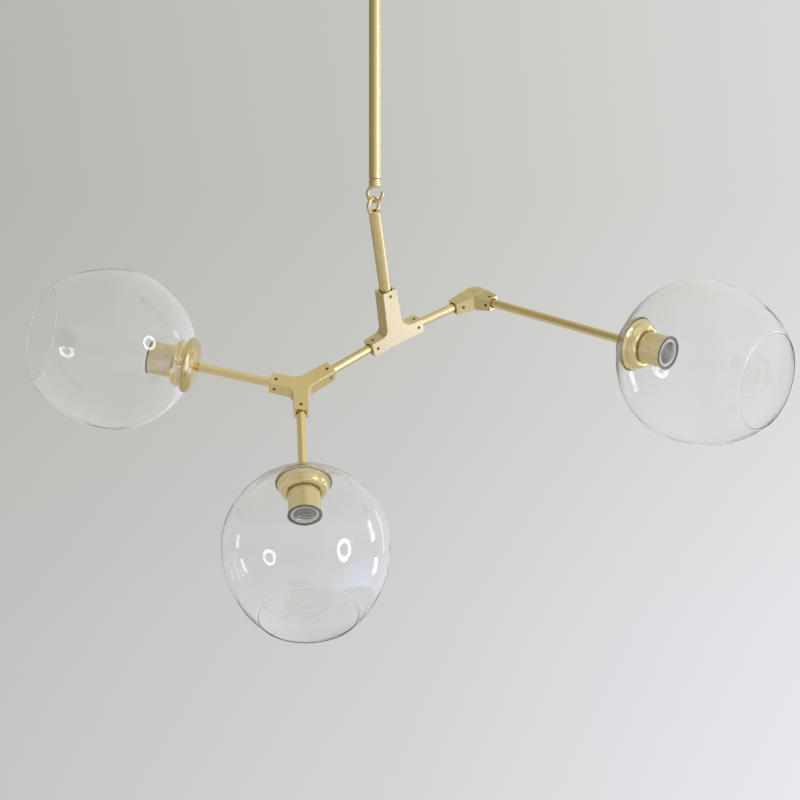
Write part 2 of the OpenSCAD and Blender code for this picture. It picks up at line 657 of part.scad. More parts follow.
// locking collar: spigot in the globe's neck, flange on the glass, a step, and a round dome that
// leaves a gap round the cup
flange_z = globe_mid - (neck_depth - glass_t)
    * pow(cos(neck_angle(ring_d / 2, globe_r - glass_t)), 2 / neck_p) + 0.02;
module lamp_ring() color(polished) rotate_extrude() polygon([
    [cup_r + fit, flange_z - 4], [neck_d / 2 - 0.2, flange_z - 4], [neck_d / 2 - 0.2, flange_z],
    [ring_d / 2, flange_z], [ring_d / 2, flange_z + 1.8], [ring_d / 2 - 2.4, flange_z + 3.8],
    [ring_d / 2 - 2.4, flange_z + ring_h * 0.5], [ring_d / 2 - 2.9, flange_z + ring_h * 0.66],
    [ring_d / 2 - 4, flange_z + ring_h * 0.81], [ring_d / 2 - 5.6, flange_z + ring_h * 0.92],
    [ring_d / 2 - 7.6, flange_z + ring_h * 0.985], [ring_d / 2 - 9, flange_z + ring_h],
    [cup_r + ring_gap, flange_z + ring_h * 0.97], [cup_r + ring_gap, flange_z + ring_h - ring_gap_h],
    [cup_r + fit, flange_z + ring_h - ring_gap_h]]);

// ---------- the three lamps ----------
module left_cap() at_left_lamp() lamp_cap();
module left_nut() at_left_lamp() lamp_nut();
module left_cup() at_left_lamp() lamp_cup();
module left_liner() at_left_lamp() lamp_liner();
module left_insulator() at_left_lamp() lamp_insulator();
module left_shell() at_left_lamp() lamp_shell();
module left_contact() at_left_lamp() lamp_contact();
module left_ring() at_left_lamp() lamp_ring();
module left_globe() at_left_lamp() lamp_globe();
module lower_cap() at_lower_lamp() lamp_cap();
module lower_nut() at_lower_lamp() lamp_nut();
module lower_cup() at_lower_lamp() lamp_cup();
module lower_liner() at_lower_lamp() lamp_liner();
module lower_insulator() at_lower_lamp() lamp_insulator();
module lower_shell() at_lower_lamp() lamp_shell();
module lower_contact() at_lower_lamp() lamp_contact();
module lower_ring() at_lower_lamp() lamp_ring();
module lower_globe() at_lower_lamp() lamp_globe();
module right_cap() at_right_lamp() lamp_cap();
module right_nut() at_right_lamp() lamp_nut();
module right_cup() at_right_lamp() lamp_cup();
module right_liner() at_right_lamp() lamp_liner();
module right_insulator() at_right_lamp() lamp_insulator();
module right_shell() at_right_lamp() lamp_shell();
module right_contact() at_right_lamp() lamp_contact();
module right_ring() at_right_lamp() lamp_ring();
module right_globe() at_right_lamp() lamp_globe();

// ---------- drawing ----------
crossbar();
ceiling_nipple();
lock_nut();
stem_top_plug();
upper_stem();
stem_end_plug();
canopy();
canopy_collar();
collar_screw();
hook();
eye();
lower_stem_plug();
lower_stem();
tee_hub();
tee_screws();
fork_link();
elbow_link();
fork_hub();
fork_screws();
left_arm();
lower_arm();
elbow_inner();
elbow_inner_screws();
pivot_screw();
pivot_nut();
elbow_outer();
elbow_outer_screws();
right_arm();
left_cap();
left_nut();
left_cup();
left_liner();
left_insulator();
left_shell();
left_contact();
left_ring();
left_globe();
lower_cap();
lower_nut();
lower_cup();
lower_liner();
lower_insulator();
lower_shell();
lower_contact();
lower_ring();
lower_globe();
right_cap();
right_nut();
right_cup();
right_liner();
right_insulator();
right_shell();
right_contact();
right_ring();
right_globe();
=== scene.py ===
"""Branch chandelier in satin brass: three clear globes on jointed arms, hung from a hook and eye."""

import json
import math

import bmesh
import bpy
from mathutils import Matrix, Vector


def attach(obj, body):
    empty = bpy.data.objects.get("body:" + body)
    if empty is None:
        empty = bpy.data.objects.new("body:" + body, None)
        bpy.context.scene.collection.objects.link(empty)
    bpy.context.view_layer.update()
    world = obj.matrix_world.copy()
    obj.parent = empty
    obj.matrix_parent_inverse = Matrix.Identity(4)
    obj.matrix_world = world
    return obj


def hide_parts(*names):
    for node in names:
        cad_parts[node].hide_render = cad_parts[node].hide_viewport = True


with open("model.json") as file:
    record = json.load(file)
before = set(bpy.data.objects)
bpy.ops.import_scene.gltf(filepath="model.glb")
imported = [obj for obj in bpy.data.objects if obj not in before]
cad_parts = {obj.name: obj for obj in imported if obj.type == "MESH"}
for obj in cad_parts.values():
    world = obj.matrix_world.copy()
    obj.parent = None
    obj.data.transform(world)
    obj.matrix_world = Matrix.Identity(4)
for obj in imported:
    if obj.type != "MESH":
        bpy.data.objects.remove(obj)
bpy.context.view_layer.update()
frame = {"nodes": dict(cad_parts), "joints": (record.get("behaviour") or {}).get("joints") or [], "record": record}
nodes = frame["nodes"]
record = frame["record"]
MM = 0.001


# ---------- frames of the pieces, from the record's joints and mounts ----------
def stand(origin, along, across):
    """Frame at origin with +Z along one direction and +X as near as it can be to another."""
    z = Vector(along).normalized()
    x = Vector(across)
    x = (x - z * x.dot(z)).normalized()
    m = Matrix((x, z.cross(x), z)).transposed().to_4x4()
    m.translation = Vector(origin)
    return m


def turned_about(m, axis, degrees):
    """A frame turned about one of its own axes."""
    return m @ Matrix.Rotation(math.radians(degrees), 4, axis)


joints = {j["name"]: j for j in frame["joints"]}
mounts = {m["name"]: m for m in record["mounts"]}

tee_turn = joints["tee_turn"]
AT_TEE = stand(tee_turn["pos_m"], tee_turn["axis"], joints["elbow_turn"]["axis"])
AT_FORK = stand(joints["fork_turn"]["pos_m"], joints["fork_turn"]["axis"], mounts["left_socket"]["axis"])
AT_ELBOW = stand(joints["elbow_turn"]["pos_m"], joints["elbow_turn"]["axis"], AT_TEE.col[2].xyz * -1)
SHELL_MIDDLE = 32.1  # from a cap's rim to the middle of its screw shell


def lamp_frame(mount, front):
    """Frame in the middle of a cap's rim, with +Z out of the globe's mouth."""
    axis = Vector(mount["axis"]).normalized()
    origin = Vector(mount["pos_m"]) - axis * SHELL_MIDDLE * MM
    return stand(origin, axis, Vector(front).cross(axis))


FORK_FRONT = AT_FORK.col[1].xyz
LAMPS = {  # the body that each lamp rides on, and the lamp's frame
    "left": ("fork", lamp_frame(mounts["left_socket"], FORK_FRONT)),
    "lower": ("fork", lamp_frame(mounts["lower_socket"], FORK_FRONT)),
    "right": ("right", lamp_frame(mounts["right_socket"], Vector((0, 0, 1)))),
}
CEILING = Matrix.Identity(4)
HOOK_HEADING, TEE_TURN, TEE_DROP = -15, -12.4, 164  # as in the part: two angles in degrees, a length in mm
HOOK = turned_about(Matrix.Translation((0, 0, joints["hook_turn"]["pos_m"][2])), "Z", HOOK_HEADING)
EYE = turned_about(AT_TEE, "Z", -TEE_TURN) @ Matrix.Translation((0, 0, TEE_DROP * MM))


def reach(node, at):
    """How far a CAD node reaches along a frame's Z, in mm."""
    back = at.inverted()
    z = [(back @ v.co).z for v in nodes[node].data.vertices]
    return min(z) / MM, max(z) / MM


# ---------- materials ----------
def new_material(name):
    """An empty material with one shader: the material, its node tree and the shader."""
    m = bpy.data.materials.new(name)
    m.use_nodes = True
    tree = m.node_tree
    tree.nodes.clear()
    out = tree.nodes.new("ShaderNodeOutputMaterial")
    shader = tree.nodes.new("ShaderNodeBsdfPrincipled")
    tree.links.new(shader.outputs["BSDF"], out.inputs["Surface"])
    return m, tree, shader


def local_coordinates(tree, at):
    """Object coordinates brought into a piece's own frame, in metres."""
    back = at.inverted()
    coord = tree.nodes.new("ShaderNodeTexCoord")
    mapping = tree.nodes.new("ShaderNodeMapping")
    mapping.inputs["Location"].default_value = back.translation
    mapping.inputs["Rotation"].default_value = back.to_euler("XYZ")
    tree.links.new(coord.outputs["Object"], mapping.inputs["Vector"])
    return mapping.outputs["Vector"]


def noise(tree, vector, scale, detail=4.0, rough=0.5, stretch=None):
    """Cloudy value around 0.5; a stretch squeezes it along each axis."""
    if stretch is not None:
        squeeze = tree.nodes.new("ShaderNodeMapping")
        squeeze.inputs["Scale"].default_value = stretch
        tree.links.new(vector, squeeze.inputs["Vector"])
        vector = squeeze.outputs["Vector"]
    n = tree.nodes.new("ShaderNodeTexNoise")
    n.inputs["Scale"].default_value = scale
    n.inputs["Detail"].default_value = detail
    n.inputs["Roughness"].default_value = rough
    tree.links.new(vector, n.inputs["Vector"])
    return n.outputs["Fac"]


def ramp(tree, value, stops):
    """Colour that follows a value through stops of (place, colour)."""
    r = tree.nodes.new("ShaderNodeValToRGB")
    r.color_ramp.elements[0].position = stops[0][0]
    r.color_ramp.elements[0].color = (*stops[0][1], 1)
    r.color_ramp.elements[1].position = stops[-1][0]
    r.color_ramp.elements[1].color = (*stops[-1][1], 1)
    for position, colour in stops[1:-1]:
        e = r.color_ramp.elements.new(position)
        e.color = (*colour, 1)
    tree.links.new(value, r.inputs["Fac"])
    return r.outputs["Color"]


def spread(tree, value, low, high, start=0.3, end=0.7):
    """A value between start and end brought to the range from low to high, and held at its ends."""
    m = tree.nodes.new("ShaderNodeMapRange")
    m.inputs["From Min"].default_value = start
    m.inputs["From Max"].default_value = end
    m.inputs["To Min"].default_value = low
    m.inputs["To Max"].default_value = high
    tree.links.new(value, m.inputs["Value"])
    return m.outputs["Result"]


def blended(tree, factor, a, b, way="MIX"):
    """Two colours mixed, added or multiplied; each input is a socket or a plain value."""
    mix = tree.nodes.new("ShaderNodeMix")
    mix.data_type = "RGBA"
    mix.blend_type = way
    for socket, value in ((mix.inputs["Factor"], factor), (mix.inputs[6], a), (mix.inputs[7], b)):
        if isinstance(value, (int, float)):
            socket.default_value = value
        elif isinstance(value, tuple):
            socket.default_value = (*value, 1)
        else:
            tree.links.new(value, socket)
    return mix.outputs[2]


def bumped(tree, shader, height, distance, strength=1.0):
    """Relief of a height, distance metres deep, on a shader's surface."""
    b = tree.nodes.new("ShaderNodeBump")
    b.inputs["Strength"].default_value = strength
    b.inputs["Distance"].default_value = distance
    tree.links.new(height, b.inputs["Height"])
    tree.links.new(b.outputs["Normal"], shader.inputs["Normal"])


ROUND_SHARE = 0.012  # how much of the place across goes into a noise that runs round an axis


def radius_coordinates(tree, vector):
    """(distance from Z, height, a little of X): lines of a noise on these run round the axis."""
    parts = tree.nodes.new("ShaderNodeSeparateXYZ")
    tree.links.new(vector, parts.inputs[0])
    flat = tree.nodes.new("ShaderNodeVectorMath")
    flat.operation = "MULTIPLY"
    flat.inputs[1].default_value = (1, 1, 0)
    tree.links.new(vector, flat.inputs[0])
    length = tree.nodes.new("ShaderNodeVectorMath")
    length.operation = "LENGTH"
    tree.links.new(flat.outputs["Vector"], length.inputs[0])
    across = tree.nodes.new("ShaderNodeMath")
    across.operation = "MULTIPLY"
    across.inputs[1].default_value = ROUND_SHARE
    tree.links.new(parts.outputs["X"], across.inputs[0])
    joined = tree.nodes.new("ShaderNodeCombineXYZ")
    tree.links.new(length.outputs["Value"], joined.inputs["X"])
    tree.links.new(parts.outputs["Z"], joined.inputs["Y"])
    tree.links.new(across.outputs["Value"], joined.inputs["Z"])
    return joined.outputs["Vector"]


def combined(tree, way, a, b):
    """Sum, product or the like of two values."""
    node = tree.nodes.new("ShaderNodeMath")
    node.operation = way
    tree.links.new(a, node.inputs[0])
    tree.links.new(b, node.inputs[1])
    return node.outputs["Value"]


def painted_bore_shade(tree, bores):
    """Mask of painted shade: 1 in the bores and their chamfered mouths, where shade falls round the tubes, 0
    elsewhere.
    """
    inside, outside, mouth_fade = 0.05, 0.2, 0.004  # mm each side of a bore's radius, m along its axis
    total = None
    for at, radius in bores:
        parts = tree.nodes.new("ShaderNodeSeparateXYZ")
        tree.links.new(radius_coordinates(tree, local_coordinates(tree, at)), parts.inputs[0])
        near = spread(tree, parts.outputs["X"], 1, 0, (radius - inside) * MM, (radius + outside) * MM)
        outward = spread(tree, parts.outputs["Y"], 0, 1, 0, mouth_fade)
        both = combined(tree, "MULTIPLY", near, outward)
        total = both if total is None else combined(tree, "MAXIMUM", total, both)
    return total


GRAIN_ALONG, GRAIN_ACROSS = (3600, 3600, 70), (80, 3600, 3600)  # how often brushed lines repeat, per metre
GRAIN_ROUND = 3200
BRASS = [(0.25, (0.785, 0.630, 0.310)), (0.5, (0.800, 0.648, 0.328)), (0.75, (0.815, 0.666, 0.346))]
# painted shade: dark brown laid into the bores and their mouths, where shade falls round the tubes
BORE_PAINTED_SHADE = (0.13, 0.088, 0.04)


def toned(colour, tone):
    return tuple(c * tone for c in colour)


def satin_brass(name, at, grain="along", tone=1.0, rough=0.26, bores=()):
    """Brushed and lacquered brass: fine grain, a soft cloudy tone and faint handling marks.

    The grain runs "along" the piece's Z, "across" it along X, or "round" Z."""
    m, tree, shader = new_material(name)
    own = local_coordinates(tree, at)
    if grain == "round":
        lines = noise(tree, radius_coordinates(tree, own), GRAIN_ROUND, 2, 0.5)
    else:
        lines = noise(tree, own, 1.0, 2, 0.5, stretch=GRAIN_ALONG if grain == "along" else GRAIN_ACROSS)
    clouds = noise(tree, own, 38, 4, 0.5)
    marks = noise(tree, own, 260, 3, 0.5)
    brass = ramp(tree, clouds, [(place, toned(colour, tone)) for place, colour in BRASS])
    streak = ramp(tree, lines, [(0.3, (0.965, 0.965, 0.965)), (0.7, (1.0, 1.0, 1.0))])
    brass = blended(tree, 0.4, brass, streak, "MULTIPLY")
    # painted shade: the brass is darkened to a dark brown in the bores and their mouths
    if bores:
        brass = blended(tree, painted_bore_shade(tree, bores), brass, BORE_PAINTED_SHADE)
    tree.links.new(brass, shader.inputs["Base Color"])
    grainy = spread(tree, lines, rough - 0.012, rough + 0.012)
    worn = spread(tree, marks, -0.008, 0.01)
    tree.links.new(combined(tree, "ADD", grainy, worn), shader.inputs["Roughness"])
    shader.inputs["Metallic"].default_value = 1.0
    bumped(tree, shader, lines, 0.000001, 0.15)
    return m


def polished_brass(name, at):
    """Turned and polished brass of the collars: faint rings from the lathe under a mirror finish."""
    m, tree, shader = new_material(name)
    own = local_coordinates(tree, at)
    rings = noise(tree, radius_coordinates(tree, own), 2600, 4, 0.6)
    clouds = noise(tree, own, 70, 4, 0.5)
    tree.links.new(ramp(tree, clouds, [(0.3, (0.74, 0.59, 0.27)), (0.7, (0.80, 0.65, 0.33))]),
                   shader.inputs["Base Color"])
    tree.links.new(spread(tree, rings, 0.11, 0.17), shader.inputs["Roughness"])
    shader.inputs["Metallic"].default_value = 1.0
    bumped(tree, shader, rings, 0.000003, 0.4)
    return m


STEEL_DARK, STEEL_LIGHT = (0.50, 0.50, 0.50), (0.64, 0.64, 0.63)


def bright_steel(name, at, tone=1.0, rough=0.3):
    """Plated steel of the screw shells, nuts and screws."""
    m, tree, shader = new_material(name)
    own = local_coordinates(tree, at)
    rings = noise(tree, radius_coordinates(tree, own), 3000, 4, 0.6)
    clouds = noise(tree, own, 160, 4, 0.6)
    steel = ramp(tree, clouds, [(0.3, toned(STEEL_DARK, tone)), (0.7, toned(STEEL_LIGHT, tone))])
    tree.links.new(steel, shader.inputs["Base Color"])
    tree.links.new(spread(tree, rings, rough - 0.06, rough + 0.08), shader.inputs["Roughness"])
    shader.inputs["Metallic"].default_value = 1.0
    bumped(tree, shader, rings, 0.000004, 0.4)
    return m


def clear_glass(name, at):
    """Blown glass: a little uneven, with faint smears left by handling and a ground rim."""
    m, tree, shader = new_material(name)
    own = local_coordinates(tree, at)
    waves = noise(tree, own, 24, 3, 0.45)
    smears = noise(tree, own, 60, 4, 0.6, stretch=(1, 1, 0.4))
    tree.links.new(ramp(tree, smears, [(0.3, (0.988, 0.994, 0.992)), (0.7, (0.998, 1.0, 0.999))]),
                   shader.inputs["Base Color"])
    parts = tree.nodes.new("ShaderNodeSeparateXYZ")
    tree.links.new(own, parts.inputs[0])
    ground_rim = spread(tree, parts.outputs["Z"], 0, 0.4, (GLOBE_L - 1.3) * MM, (GLOBE_L - 0.6) * MM)
    tree.links.new(combined(tree, "ADD", spread(tree, smears, 0.0, 0.022, 0.45, 0.75), ground_rim),
                   shader.inputs["Roughness"])
    shader.inputs["Transmission Weight"].default_value = 1.0
    shader.inputs["IOR"].default_value = 1.46
    bumped(tree, shader, waves, 0.0006, 0.6)
    return m


def black_plastic(name, at):
    """Moulded liner: dark brown, fairly glossy, paler where it has been rubbed."""
    m, tree, shader = new_material(name)
    own = local_coordinates(tree, at)
    grain = noise(tree, own, 2400, 3, 0.6)
    rubs = noise(tree, own, 90, 4, 0.6)
    tree.links.new(ramp(tree, rubs, [(0.35, (0.095, 0.074, 0.054)), (0.7, (0.165, 0.132, 0.100))]),
                   shader.inputs["Base Color"])
    tree.links.new(spread(tree, rubs, 0.16, 0.28), shader.inputs["Roughness"])
    shader.inputs["Specular IOR Level"].default_value = 0.8
    bumped(tree, shader, grain, 0.00004, 0.5)
    return m


def ceramic(name, at):
    """Pressed steatite: off-white with a thin satin glaze and fine specks."""
    m, tree, shader = new_material(name)
    own = local_coordinates(tree, at)
    specks = noise(tree, own, 1500, 3, 0.7)
    clouds = noise(tree, own, 120, 4, 0.55)
    body = ramp(tree, clouds, [(0.3, (0.80, 0.765, 0.715)), (0.7, (0.875, 0.845, 0.80))])
    dots = ramp(tree, specks, [(0.28, (0.80, 0.77, 0.72)), (0.36, (1, 1, 1))])
    tree.links.new(blended(tree, 1.0, body, dots, "MULTIPLY"), shader.inputs["Base Color"])
    tree.links.new(spread(tree, clouds, 0.32, 0.45), shader.inputs["Roughness"])
    shader.inputs["Coat Weight"].default_value = 0.25
    shader.inputs["Coat Roughness"].default_value = 0.2
    bumped(tree, shader, specks, 0.00003, 0.6)
    return m


# ---------- making pieces ----------
def add_piece(name, bm, at, material, body, replaced, sharp=38):
    """Turns finished mesh work into a piece that rides on a body and stands for CAD nodes."""
    bmesh.ops.transform(bm, matrix=at, verts=bm.verts[:])
    bmesh.ops.recalc_face_normals(bm, faces=bm.faces[:])
    limit = math.radians(sharp)
    for f in bm.faces:
        f.smooth = True
    for e in bm.edges:
        e.smooth = not (len(e.link_faces) == 2 and e.calc_face_angle(0) > limit)
    mesh = bpy.data.meshes.new(name)
    bm.to_mesh(mesh)
    bm.free()
    piece = bpy.data.objects.new(name, mesh)
    bpy.context.scene.collection.objects.link(piece)
    mesh.materials.append(material)
    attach(piece, body)
    if replaced:
        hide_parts(*replaced)
    return piece


ALMOST_STRAIGHT = math.radians(82)  # half the angle of a corner that needs no rounding
ROOM_SHARE = 0.42  # how much of the shorter side a rounding may take
# a point this far, in mm or as a share of the rounding, before and after it keeps its shading off the flats
EDGE_LOOP, EDGE_SHARE = 0.06, 0.4


def eased(profile, radius=0.25, steps=4):
    """A closed outline of (r, z) with its corners rounded.

    A corner may carry its own radius as (r, z, radius)."""
    count = len(profile)
    result = []
    for i in range(count):
        p = Vector(profile[i][:2])
        own = profile[i][2] if len(profile[i]) > 2 else radius
        a, b = Vector(profile[i - 1][:2]), Vector(profile[(i + 1) % count][:2])
        into, out = a - p, b - p
        room = min(into.length, out.length)
        if own <= 0 or room < 1e-6:
            result.append(p)
            continue
        into.normalize()
        out.normalize()
        half = into.angle(out) / 2
        if half > ALMOST_STRAIGHT:
            result.append(p)
            continue
        back = min(own / math.tan(half), room * ROOM_SHARE)
        r = back * math.tan(half)
        middle = p + (into + out).normalized() * (r / math.sin(half))
        first, last = p + into * back, p + out * back
        ease = min(EDGE_LOOP, back * EDGE_SHARE)
        result.append(first + into * ease)
        start = first - middle
        sweep = start.angle(last - middle)
        sign = 1 if start.x * (last - middle).y - start.y * (last - middle).x > 0 else -1
        for k in range(steps + 1):
            t = sign * sweep * k / steps
            result.append(middle + Vector((start.x * math.cos(t) - start.y * math.sin(t),
                                           start.x * math.sin(t) + start.y * math.cos(t))))
        result.append(last + out * ease)
    return result


def spun(profile, steps=128):
    """A closed outline of (r, z) in mm, spun once round Z."""
    bm = bmesh.new()
    verts = [bm.verts.new((p[0] * MM, 0, p[1] * MM)) for p in profile]
    edges = [bm.edges.new((verts[i - 1], verts[i])) for i in range(len(verts))]
    bmesh.ops.spin(bm, geom=verts + edges, cent=(0, 0, 0), axis=(0, 0, 1), angle=2 * math.pi,
                   steps=steps, use_merge=True)
    bmesh.ops.remove_doubles(bm, verts=bm.verts[:], dist=1e-7)
    return bm


def tube_profile(outer, wall, low, high, ease):
    """Half the section of a tube with eased edges."""
    out, into = outer / 2, outer / 2 - wall
    return eased([(into, low), (out, low), (out, high), (into, high)], ease)


# ---------- sizes in mm, as in the part; heights run from a cap's rim towards the globe's mouth ----------
STEM_D, STEM_WALL, ARM_D, ARM_WALL = 13.5, 1.2, 10.0, 1.0
HUB_HALF = 8.5
THREAD_R, THREAD_BORE_R = 4.0, 3.0
FIT = 0.05
CAP_R, CAP_H, CAP_FLAT_R, SHEET = 31.5, 11.8, 8.0, 1.0
CUP_R, CUP_FLAT_R, LIP_R, HOLDER_OUT, LIP_T = 18.0, 7.5, 18.8, 45.2, 1.6
GLOBE_R, GLOBE_MID, GLOBE_L, MOUTH_R, GLASS = 90.0, 82.0, 172.0, 52.5, 2.2
NECK_R, NECK_P = 19.5, 1.9  # radius of the neck's hole, power of the curve that runs from it to the belly
COLLAR_R = 29.0
SHELL_R, SHELL_FROM, SHELL_H, SHELL_PITCH = 13.3, 20.6, 23.0, 3.63
CONTACT_SEAT = 17.8
# the blown wall, as shares of the glass at the neck: past the neck, and at the mouth's rim
THIN_WALL, THIN_RIM = 0.5, 0.32
# where the wall thins, as shares of the way from neck to belly and from belly to mouth
THIN_FROM, THIN_OVER, RIM_FROM = 0.09, 0.25, 0.6
GLASS_STEPS, LIP_CUT = 36, 0.55


def neck_angle(r, full):
    """Where on the neck's curve, which swells to the radius full, its radius is r."""
    return math.asin((r / full) ** (NECK_P / 2))


# half axes of the globe's two curves: the neck's meets the cap's rim from inside, the mouth's ends at MOUTH_R
NECK_DEPTH = GLOBE_MID / math.cos(neck_angle(CAP_R - SHEET, GLOBE_R)) ** (2 / NECK_P) - 0.02
MOUTH_DEPTH = (GLOBE_L - GLOBE_MID) / math.sqrt(1 - (MOUTH_R / GLOBE_R) ** 2)


def glass_line(inset, count, cut):
    """The globe's outline at a depth inside the glass, from the neck to a plane short of the mouth.

    The inner line comes nearer to the outer one away from the neck, as a blown wall thins where it swells."""
    line = []
    for i in range(count):
        thin = 1 - (1 - THIN_WALL) * min(1, max(0, i / count - THIN_FROM) / THIN_OVER)
        own, full = inset * thin, GLOBE_R - inset * thin
        first = neck_angle(NECK_R, GLOBE_R - inset)
        a = first + (math.pi / 2 - first) * i / count
        line.append((full * math.sin(a) ** (2 / NECK_P),
                     GLOBE_MID - (NECK_DEPTH - own) * math.cos(a) ** (2 / NECK_P)))
    for i in range(count + 1):
        own = inset * (THIN_WALL - (THIN_WALL - THIN_RIM) * max(0, i / count - RIM_FROM) / (1 - RIM_FROM))
        last = math.asin((GLOBE_L - cut - GLOBE_MID) / (MOUTH_DEPTH - own))
        a = last * i / count
        line.append(((GLOBE_R - own) * math.cos(a), GLOBE_MID + (MOUTH_DEPTH - own) * math.sin(a)))
    return line


def make_globe(name, lamp, at, body):
    """Outer and inner line of the glass, joined by a round lip at the mouth."""
    outer = glass_line(0, GLASS_STEPS, LIP_CUT)
    inner = glass_line(GLASS, GLASS_STEPS, LIP_CUT)
    a, b = Vector(outer[-1]), Vector(inner[-1])
    middle, radius = (a + b) / 2, (a - b).length / 2
    side = (a - middle).normalized()
    forward = Vector((-side.y, side.x))
    if forward.y < 0:
        forward = -forward
    lip = [middle + side * radius * math.cos(t) + forward * radius * math.sin(t)
           for t in (math.pi * k / 8 for k in range(1, 8))]
    bm = spun(outer + [tuple(p) for p in lip] + inner[::-1], 160)
    return add_piece(name, bm, at, clear_glass(name + "_blown_glass", at), body, [lamp + "_globe"],
                     50)


def dome(r, h, steps=26):
    """Half an ellipse of radius r from a cap's flat top, h above its rim, down to the rim."""
    high = h / math.sqrt(1 - (CAP_FLAT_R / r) ** 2)
    first = math.asin(CAP_FLAT_R / r)
    return [(r * math.sin(a), -high * math.cos(a))
            for a in (first + (math.pi / 2 - first) * i / steps for i in range(steps + 1))]


def make_cap(name, lamp, at, body):
    """Spun dome with a rolled rim."""
    bore = THREAD_R + FIT
    flat = [(bore, -CAP_H), (CAP_FLAT_R - 0.6, -CAP_H), (CAP_FLAT_R - 0.2, 0.02 - CAP_H)]
    rim = [(CAP_R - 0.12, 0.2), (CAP_R - 0.5, 0.36), (CAP_R - SHEET + 0.12, 0.2)]
    inner = dome(CAP_R - SHEET, CAP_H - SHEET)
    bm = spun(flat + dome(CAP_R, CAP_H) + rim + inner[::-1] + [(bore, SHEET - CAP_H)], 144)
    return add_piece(name, bm, at, satin_brass(name + "_spun_brass", at, "round", 0.77), body,
                     [lamp + "_cap"])


def make_cup(name, lamp, at, body):
    """Drawn cup: a flat base under the cap, a cone, and the straight wall round the lamp holder."""
    base, shoulder, top = SHEET - CAP_H, -2, HOLDER_OUT - LIP_T
    bore = THREAD_R + FIT
    line = eased([(bore, base), (CUP_FLAT_R, base), (CUP_R, shoulder, 1.2), (CUP_R, top, 0.3),
                  (CUP_R - SHEET, top, 0.3), (CUP_R - SHEET, shoulder + SHEET / 2, 1.2),
                  (CUP_FLAT_R - SHEET / 3, base + SHEET), (bore, base + SHEET)], 0.3)
    bm = spun(line, 112)
    return add_piece(name, bm, at, satin_brass(name + "_drawn_brass", at, "round", 0.93, 0.26), body,
                     [lamp + "_cup"])


def make_liner(name, lamp, at, body):
    """Moulded sleeve in the cup, with a lip over the cup's edge and a ledge under the insulator."""
    out, into, low, top = CUP_R - SHEET - FIT, CUP_R - SHEET - 1.45, 11.8, HOLDER_OUT - LIP_T
    line = eased([(into - 2, low), (out, low), (out, top), (LIP_R, top, 0.3), (LIP_R, HOLDER_OUT, 0.9),
                  (into + 0.6, HOLDER_OUT - 0.1, 0.4), (into, HOLDER_OUT - 0.7, 0.4),
                  (into, low + 1), (into - 2, low + 1)], 0.2)
    bm = spun(line, 112)
    return add_piece(name, bm, at, black_plastic(name + "_moulded", at), body, [lamp + "_liner"])


def make_shell(name, lamp, at, body):
    """Rolled screw thread of the lamp holder: round waves that climb once round for each pitch."""
    depth, fade_over, lip, lip_out, rows = 0.55, 1.2, 1.0, 0.45, 110
    low, high = SHELL_FROM, SHELL_FROM + SHELL_H
    inner_r, outer_r = SHELL_R - 0.5 - depth, SHELL_R - depth * 0.6
    line = [(inner_r, low + (high - low) * i / rows) for i in range(rows + 1)] + \
           [(outer_r, low + (high - low) * i / rows) for i in range(rows, -1, -1)]
    bm = spun(line, 96)
    for v in bm.verts:
        r = math.hypot(v.co.x, v.co.y) / MM
        z = v.co.z / MM
        turn = math.atan2(v.co.y, v.co.x)
        wave = math.cos(2 * math.pi * (z - low) / SHELL_PITCH - turn)
        fade = min(1.0, (z - low) / fade_over, (high - z) / fade_over)
        flare = max(0.0, 1 - (high - z) / lip) * lip_out
        new = r + depth * 0.5 * wave * max(fade, 0) + flare * (0.6 if r > outer_r - 0.1 else 1)
        new = min(new, SHELL_R - 0.02)
        v.co.x *= new / r
        v.co.y *= new / r
    return add_piece(name, bm, at, bright_steel(name + "_rolled_shell", at, 1.4, 0.34), body,
                     [lamp + "_shell"], 60)


def make_contact(name, lamp, at, body):
    """Sprung button with a flange on the insulator's floor and a pin through it."""
    z = CONTACT_SEAT
    line = eased([(0.0, z - 4, 0), (1.4, z - 4), (1.4, z), (4.5, z, 0.2), (4.5, z + 0.8, 0.3), (3.5, z + 0.8),
                  (2.2, z + 2.3, 0.8), (0.0, z + 2.4, 0)], 0.1)
    bm = spun(line, 48)
    return add_piece(name, bm, at, polished_brass(name + "_sprung_brass", at), body, [lamp + "_contact"])


def make_ring(name, lamp, at, body, flange):
    """Turned collar: spigot in the neck, flange on the glass, a step, a round dome and a gap round the cup."""
    f, r = flange, COLLAR_R
    line = eased([(CUP_R + FIT, f - 4), (NECK_R - 0.2, f - 4), (NECK_R - 0.2, f, 0.1), (r, f, 0.3),
                  (r, f + 1.8, 0.5), (r - 1.7, f + 3.1, 0.4), (r - 2.9, f + 3.9, 0.25),
                  (r - 2.9, f + 4.7, 0.25), (r - 2.3, f + 5.6, 0.8), (r - 2.3, f + 7.2, 1.4),
                  (r - 2.9, f + 9.3, 1.6), (r - 4.1, f + 11.3, 1.4), (r - 5.7, f + 12.8, 1.3),
                  (r - 7.6, f + 13.65, 1.0), (CUP_R + 1.2, f + 13.7, 0.5),
                  (CUP_R + 1.2, f + 11.0, 0.2), (CUP_R + FIT, f + 11.0, 0.1)], 0.3, 5)
    bm = spun(line, 144)
    return add_piece(name, bm, at, polished_brass(name + "_turned_brass", at), body, [lamp + "_ring"])


